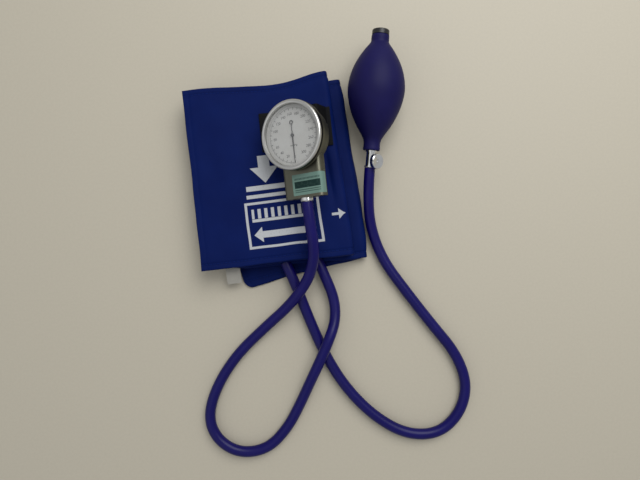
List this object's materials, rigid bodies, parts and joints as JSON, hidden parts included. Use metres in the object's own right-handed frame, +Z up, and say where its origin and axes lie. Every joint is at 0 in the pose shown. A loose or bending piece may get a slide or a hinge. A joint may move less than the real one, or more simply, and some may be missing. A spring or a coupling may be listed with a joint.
{
  "type": "aneroid sphygmomanometer",
  "caption": "Aneroid blood pressure gauge on a folded arm cuff, with a rubber squeeze bulb, its screw release valve and the hoses that join them.",
  "frame": {"origin": "middle of the folded cuff on the surface that it lies on", "axes": "+X to the right of the dial, +Y towards the top of the dial and along the bulb, +Z up from the surface"},
  "size_m": [0.2303, 0.3386, 0.065],
  "materials": {
    "cuff_cloth": "woven nylon, slightly shiny",
    "closure_tape": "woven hook and loop",
    "bladder_rubber": "smooth",
    "strap_webbing": "woven webbing",
    "tag_cloth": "plain white tape",
    "case_metal": "satin",
    "bezel_metal": "satin",
    "lens_glass": "clear",
    "gasket_rubber": "smooth",
    "dial_white": "matt white with black scale",
    "pointer_black": "matt",
    "movement_brass": "turned and stamped",
    "spring_steel": "bright",
    "fitting_chrome": "polished",
    "label_paper": "pale green sticker",
    "bulb_rubber": "satin",
    "hose_rubber": "satin",
    "intake_plastic": "black",
    "filter_mesh": "fine mesh"
  },
  "bodies": {
    "cuff_gauge_and_bulb": {"cuff_cover": "cuff_cloth", "hook_strip": "closure_tape", "loop_strip": "closure_tape", "bladder": "bladder_rubber", "gauge_strap": "strap_webbing", "care_tag": "tag_cloth", "gauge_case": "case_metal", "bezel_ring": "bezel_metal", "dial_ring": "bezel_metal", "lens": "lens_glass", "lens_gasket": "gasket_rubber", "dial_plate": "dial_white", "rocker_brackets": "movement_brass", "hairspring_stud": "movement_brass", "lower_plate": "movement_brass", "upper_plate": "movement_brass", "plate_pillars": "movement_brass", "capsule": "movement_brass", "capsule_stem": "movement_brass", "inlet_pipe": "movement_brass", "check_seat": "movement_brass", "hairspring": "spring_steel", "plate_screws": "spring_steel", "pillar_screws": "spring_steel", "back_clip": "spring_steel", "clip_rivets": "spring_steel", "hose_inlet": "fitting_chrome", "release_valve_body": "fitting_chrome", "seal_label": "label_paper", "bulb": "bulb_rubber", "bulb_hose": "hose_rubber", "gauge_hose": "hose_rubber", "intake_body": "intake_plastic", "intake_retainer": "intake_plastic", "intake_filter": "filter_mesh"},
    "pointer_and_pinion": {"pointer": "pointer_black", "pinion_arbor": "movement_brass", "hairspring_collet": "movement_brass"},
    "sector": {"sector_gear": "movement_brass", "sector_arbor": "movement_brass"},
    "rocker": {"rocker": "movement_brass"},
    "capsule_top": {"capsule_pad": "movement_brass"},
    "screw_carrier": {"screw_ring": "gasket_rubber"},
    "release_screw": {"release_screw": "fitting_chrome", "release_knob": "fitting_chrome"},
    "outlet_ball": {"check_ball": "gasket_rubber"},
    "intake_disc": {"intake_disc": "gasket_rubber"}
  },
  "joints": [
    {"name": "sector_swing", "type": "hinge", "parent": "cuff_gauge_and_bulb", "child": "sector", "pos_m": [0.00892, 0.02699, 0.04053], "axis": [-0.4973, -0.0523, 0.866], "range_deg": [0, 36.7]},
    {"name": "pointer_turn", "type": "hinge", "parent": "cuff_gauge_and_bulb", "child": "pointer_and_pinion", "pos_m": [0.01735, 0.02285, 0.04858], "axis": [0.4973, 0.0523, -0.866], "range_deg": [0, 330.2], "deforming": ["hairspring"]},
    {"name": "rocker_tilt", "type": "hinge", "parent": "cuff_gauge_and_bulb", "child": "rocker", "pos_m": [0.02001, 0.0272, 0.04321], "axis": [-0.8613, -0.0905, -0.5], "range_deg": [0, 14.01]},
    {"name": "capsule_lift", "type": "slide", "parent": "cuff_gauge_and_bulb", "child": "capsule_top", "axis": [-0.4973, -0.0523, 0.866], "range_m": [0, 0.00115], "stiffness_N_per_m": 80, "springref_m": -0.0006, "deforming": ["capsule"]},
    {"name": "release_screw_travel", "type": "slide", "parent": "cuff_gauge_and_bulb", "child": "screw_carrier", "axis": [0.6362, -0.1137, 0.7631], "range_m": [0, 0.0012]},
    {"name": "release_screw_turn", "type": "hinge", "parent": "screw_carrier", "child": "release_screw", "pos_m": [0.07649, 0.00856, 0.01764], "axis": [0.6362, -0.1137, 0.7631], "range_deg": [0, 540.1]},
    {"name": "outlet_check_slide", "type": "slide", "parent": "cuff_gauge_and_bulb", "child": "outlet_ball", "axis": [0.073, 0.9935, 0.0872], "range_m": [0, 0.001]},
    {"name": "intake_check_slide", "type": "slide", "parent": "cuff_gauge_and_bulb", "child": "intake_disc", "axis": [0.073, 0.9935, 0.0872], "range_m": [0, 0.0008]}
  ],
  "couplings": [
    {"joint": "sector_swing", "follows": "capsule_lift", "rad_per_m": 556.48},
    {"joint": "pointer_turn", "follows": "capsule_lift", "rad_per_m": 5008.3},
    {"joint": "rocker_tilt", "follows": "capsule_lift", "rad_per_m": 212.47},
    {"joint": "release_screw_turn", "follows": "release_screw_travel", "rad_per_m": 7854}
  ]
}
